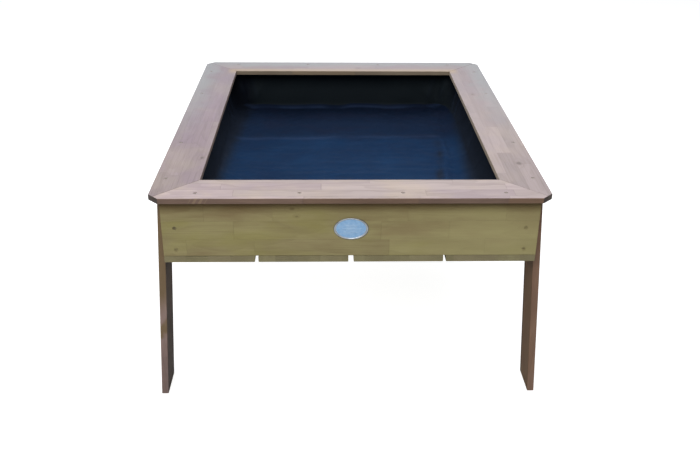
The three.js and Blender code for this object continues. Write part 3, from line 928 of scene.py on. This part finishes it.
def screw_mesh():
    """A countersunk wood screw on the Z axis with its head's rim at z = 0 and a cross recess."""
    bm = bmesh.new()
    sides = 32

    def ring(radius, z):
        turns = [2 * math.pi * i / sides for i in range(sides)]
        return [bm.verts.new((radius * math.cos(a), radius * math.sin(a), z)) for a in turns]

    def join(upper, lower):
        for i in range(len(upper)):
            j = (i + 1) % len(upper)
            bm.faces.new((upper[i], lower[i], lower[j], upper[j]))

    # The cross: each arm is a slot, and the slots meet in the middle.
    def cross(reach, half, z):
        around = []
        for quarter in range(4):
            turn = Matrix.Rotation(quarter * math.pi / 2, 2)
            for x, y in ((reach, -half), (reach, half), (half, half)):
                around.append(bm.verts.new((*(turn @ Vector((x, y))), z)))
        return around

    radius, lip, height = HEAD
    profile = [(radius - 0.25 * MM, 0.0), (radius, -0.2 * MM), (radius, -lip)]
    profile.append((SHANK * 1.05, -height))
    pitch = (SCREW_LENGTH - SCREW_PLAIN) / SCREW_TURNS
    for k in range(SCREW_TURNS):
        z = -height - 5 * MM - k * pitch
        taper = 1 - 0.55 * max(0.0, (k - SCREW_TURNS + 5) / 5)
        profile += [(SHANK * 0.72 * taper, z), (SHANK * taper, z - pitch / 2)]
    rings = [ring(r, z) for r, z in profile]
    for upper, lower in zip(rings, rings[1:]):
        join(upper, lower)
    tip = bm.verts.new((0, 0, -SCREW_LENGTH))
    for i in range(sides):
        bm.faces.new((rings[-1][i], tip, rings[-1][(i + 1) % sides]))

    top = cross(CROSS_REACH, CROSS_WIDTH, 0.0)
    bottom = cross(CROSS_REACH * 0.45, CROSS_WIDTH * 0.6, -CROSS_DEPTH)
    join(top, bottom)
    bm.faces.new(bottom)
    edges = [bm.edges.get((loop[i], loop[(i + 1) % len(loop)]))
             for loop in (rings[0], top) for i in range(len(loop))]
    bmesh.ops.triangle_fill(bm, use_beauty=True, edges=edges)
    bmesh.ops.recalc_face_normals(bm, faces=bm.faces)
    mesh = bpy.data.meshes.new("screw")
    bm.to_mesh(mesh)
    bm.free()
    return mesh


def screw_place(node):
    """The middle of a CAD screw's head and the way that it faces."""
    corners = {tuple(round(c, 5) for c in v.co) for v in NODES[node].data.vertices}
    corners = [Vector(c) for c in corners]
    middle = sum(corners, Vector()) / len(corners)
    tip = max(corners, key=lambda c: (c - middle).length)
    facing_way = (middle - tip).normalized()
    reach = max((c - tip).dot(facing_way) for c in corners)
    return tip + facing_way * reach, facing_way


def fit_screw(name, shape, place, material, node=None):
    screw = bpy.data.objects.new(name, shape.copy())
    SCENE.collection.objects.link(screw)
    screw.data.transform(place)
    screw.data.materials.append(material)
    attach(screw, BODY)
    if node:
        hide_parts(node)


def make_plank_screws(shape, material):
    """Two screws through each end of each plank, up into the end boards. They show from below."""
    for i in range(PLANKS):
        lowest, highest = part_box(f"floor_plank_{i + 1}")
        for end, way in ENDS.items():
            board_low, board_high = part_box(f"{end}_board")
            for j, inwards in enumerate((PLANK_SCREW_INSET, -PLANK_SCREW_INSET)):
                x = (lowest if inwards > 0 else highest).x + inwards
                place = Vector((x, (board_low.y + board_high.y) / 2, lowest.z - 0.1 * MM))
                flip = Matrix.Rotation(math.pi, 4, "X") @ Matrix.Rotation(1.9 * (2 * i + j), 4, "Z")
                fit_screw(f"plank_screw_{end}_{2 * i + j + 1}", shape,
                          Matrix.Translation(place) @ flip, material)


def make_screws():
    shape = screw_mesh()
    plain = steel_material("screw_zinc", (0.42, 0.37, 0.34), (0.26, 0.21, 0.18), 0.75)
    stained = steel_material("screw_zinc_stained", (0.30, 0.26, 0.145), (0.165, 0.135, 0.066))
    painted = steel_material("screw_zinc_painted", (0.40, 0.345, 0.175), (0.30, 0.255, 0.12))
    for i, node in enumerate(sorted(n for n in NODES if "_screw_" in n)):
        middle, facing_way = screw_place(node)
        turn = Matrix.Rotation(2.4 * i, 4, "Z")
        place = Matrix.Translation(middle) @ facing_way.to_track_quat("Z", "Y").to_matrix().to_4x4()
        steel = plain if node.startswith("rail") else painted
        steel = stained if node == BARE_SCREW else steel
        fit_screw(f"fitted_{node}", shape, place @ turn, steel, node)
    make_plank_screws(shape, stained)


def steel_material(name, zinc, grimy, dulled=0.0):
    """Dull zinc with stain rubbed into it. dulled is how far it matches the rim at the rear."""
    shader = Shader(name)
    point = position(shader)
    place = shader.combine(*point)
    grime = shader.noise(place, 420.0, 4.0, 0.65)
    scratch = shader.noise(place, 2600.0, 2.0, 0.5)
    colour = shader.mix(shader.step(grime, 0.42, 0.64), zinc, grimy)
    rearwards = shader.step(point[1], -0.35, 0.0)
    colour = shader.tint(colour, (0.42, 0.38, 0.37), rearwards, dulled)
    roughness = shader.add(0.42, shader.times(grime, 0.35))
    return shader.finish(colour, roughness, scratch, 0.00004, Metallic=0.4)


BADGE_RIM = 3.2 * MM
BADGE_SPOKES, BADGE_RINGS = 192, 74  # of its mesh


def badge_height(x, y, half_x, half_y, thickness):
    """Height of the plate's face: a rolled rim, a domed field and three raised waves."""
    reach = math.hypot(x / half_x, y / half_y)
    inwards = (1 - reach) * half_y  # from the outer edge, close to true near the edge
    if inwards < BADGE_RIM:
        across = inwards / BADGE_RIM
        return thickness * (0.30 + 0.70 * math.sin(math.pi * min(1.0, across * 0.96 + 0.04)) ** 0.6)
    field = thickness * (0.30 + 0.25 * (1 - (reach * 1.05) ** 2))
    relief = 0.0
    for row, span in ((0.30, 0.42), (0.0, 0.62), (-0.30, 0.42)):
        line = row * half_y + 0.9 * MM * math.sin(x / (2.6 * MM))
        ends = 1 - ease(abs(x) / half_x, span - 0.04, span)
        relief = max(relief, ends * (1 - ease(abs(y - line), 0.35 * MM, 0.85 * MM)))
    groove = bump(inwards - BADGE_RIM - 1.6 * MM, 0.35 * MM)
    return field + 0.35 * MM * relief + 0.22 * MM * groove


def make_badge():
    lowest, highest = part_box("badge")
    middle = (lowest + highest) / 2
    half_x, half_z = (highest.x - lowest.x) / 2, (highest.z - lowest.z) / 2
    thickness = highest.y - lowest.y
    bm = bmesh.new()
    rings = []
    for k in range(BADGE_RINGS + 1):
        reach = math.sin(0.5 * math.pi * (k + 0.4) / (BADGE_RINGS + 0.4))
        row = []
        for i in range(BADGE_SPOKES):
            turn = 2 * math.pi * i / BADGE_SPOKES
            x, y = reach * half_x * math.cos(turn), reach * half_z * math.sin(turn)
            out = badge_height(x, y, half_x, half_z, thickness)
            row.append(bm.verts.new((middle.x + x, highest.y - out, middle.z + y)))
        rings.append(row)
    back = [bm.verts.new((v.co.x, highest.y, v.co.z)) for v in rings[-1]]
    rings.append(back)
    for inner, outer in zip(rings, rings[1:]):
        for i in range(BADGE_SPOKES):
            j = (i + 1) % BADGE_SPOKES
            bm.faces.new((inner[i], inner[j], outer[j], outer[i]))
    bm.faces.new(rings[0])
    bm.faces.new(back)
    bmesh.ops.recalc_face_normals(bm, faces=bm.faces)
    badge = mesh_object("badge_plate", bm)
    badge.data.shade_smooth()
    badge.data.materials.append(badge_material(middle, half_x, half_z))
    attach(badge, BODY)
    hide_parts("badge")


def badge_material(middle, half_x, half_z):
    """Pale blue enamel in a bright metal rim, with a painted shadow line round its outer edge."""
    shader = Shader("badge_enamel")
    x, y, z = position(shader)
    place = shader.combine(x, y, z)
    across = shader.times(shader.add(x, -middle.x), 1 / half_x)
    upwards = shader.times(shader.add(z, -middle.z), 1 / half_z)
    reach = shader.length(across, upwards)
    rim = shader.step(reach, 0.855, 0.875)
    edge = shader.step(reach, 0.962, 0.985)
    mottle = shader.noise(place, 160.0, 4.0, 0.6)
    grit = shader.noise(place, 1500.0, 2.0, 0.5)
    enamel = shader.mix(shader.step(mottle, 0.35, 0.7), (0.29, 0.53, 0.86), (0.385, 0.62, 0.92))
    dome = shader.fall(shader.add(y, -middle.y), -0.00022, 0.00012)
    enamel = shader.tint(enamel, (0.62, 0.79, 0.97), dome, 0.30)
    metal = shader.mix(shader.step(mottle, 0.4, 0.65), (0.66, 0.70, 0.74), (0.50, 0.54, 0.58))
    colour = shader.mix(rim, enamel, metal)
    # Painted shadow: a dark line round the plate's outer edge.
    colour = shader.tint(colour, (0.10, 0.11, 0.12), edge, 0.75)
    roughness = shader.add(0.34, shader.times(mottle, 0.2))
    return shader.finish(colour, roughness, grit, 0.00004, Metallic=shader.times(rim, 0.65))


make_screws()
make_badge()


# ------------------------------------------------------------------ studio


AMBIENT = 0.20  # strength of the sky's light
GLOW = 0.85  # of the floor, as the camera sees it
# Name, place, target, size, watts and colour.
LIGHTS = (
    ("overhead", (0.15, 0.55, 2.6), (0.0, 0.0, 0.4), 2.2, 43, (0.92, 0.96, 1.0)),
    ("front", (-0.4, -2.4, 2.6), (0.0, 0.0, 0.35), 1.6, 54, (1.0, 0.97, 0.93)),
    ("left", (-3.0, 0.2, 1.9), (0.0, 0.0, 0.35), 1.6, 26, (1.0, 1.0, 1.0)),
    ("right", (3.0, 0.4, 1.9), (0.0, 0.0, 0.35), 1.6, 9, (1.0, 1.0, 1.0)),
    ("rear", (0.3, 3.2, 2.0), (0.0, 0.0, 0.35), 1.6, 18, (1.0, 1.0, 1.0)),
)


def show_camera(tree, lit, shown, output):
    """Ends the tree in a shader that lights the scene and another that only the camera sees."""
    seen = tree.nodes.new("ShaderNodeMixShader")
    is_camera = tree.nodes.new("ShaderNodeLightPath").outputs["Is Camera Ray"]
    for i, source in enumerate((is_camera, lit, shown)):
        tree.links.new(source, seen.inputs[i])
    tree.links.new(seen.outputs[0], output.inputs[0])


def make_studio():
    bpy.ops.mesh.primitive_plane_add(size=40, location=(0, 0, low.z - 0.2 * MM))
    floor = bpy.context.object
    floor.name = "studio_floor"
    shader = Shader("studio_floor")
    floor.data.materials.append(shader.finish((0.50, 0.50, 0.50), 0.95))
    output = next(n for n in shader.tree.nodes if n.type == "OUTPUT_MATERIAL")
    lit = output.inputs[0].links[0].from_socket
    glow = shader.node("ShaderNodeEmission", [("Color", (1, 1, 1, 1)), ("Strength", GLOW)])
    both = shader.node("ShaderNodeAddShader", [(0, lit), (1, glow.outputs[0])])
    show_camera(shader.tree, lit, both.outputs[0], output)

    world = bpy.data.worlds.new("studio")
    world.use_nodes = True
    nodes = world.node_tree.nodes
    nodes["Background"].inputs["Color"].default_value = (0.86, 0.93, 1.0, 1.0)
    nodes["Background"].inputs["Strength"].default_value = AMBIENT
    white = nodes.new("ShaderNodeBackground")
    white.inputs["Color"].default_value = (1, 1, 1, 1)
    lit = nodes["Background"].outputs[0]
    show_camera(world.node_tree, lit, white.outputs[0], nodes["World Output"])
    SCENE.world = world
    for name, place, target, size, power, colour in LIGHTS:
        add_light(name, place, target, size, power, colour)


def add_light(name, place, target, size, power, colour):
    data = bpy.data.lights.new(name, "AREA")
    data.size = size
    data.energy = power
    data.color = colour
    light = bpy.data.objects.new(name, data)
    SCENE.collection.objects.link(light)
    light.location = place
    light.rotation_euler = (Vector(target) - Vector(place)).to_track_quat("-Z", "Y").to_euler()


make_studio()
SCENE.view_settings.view_transform = "Standard"
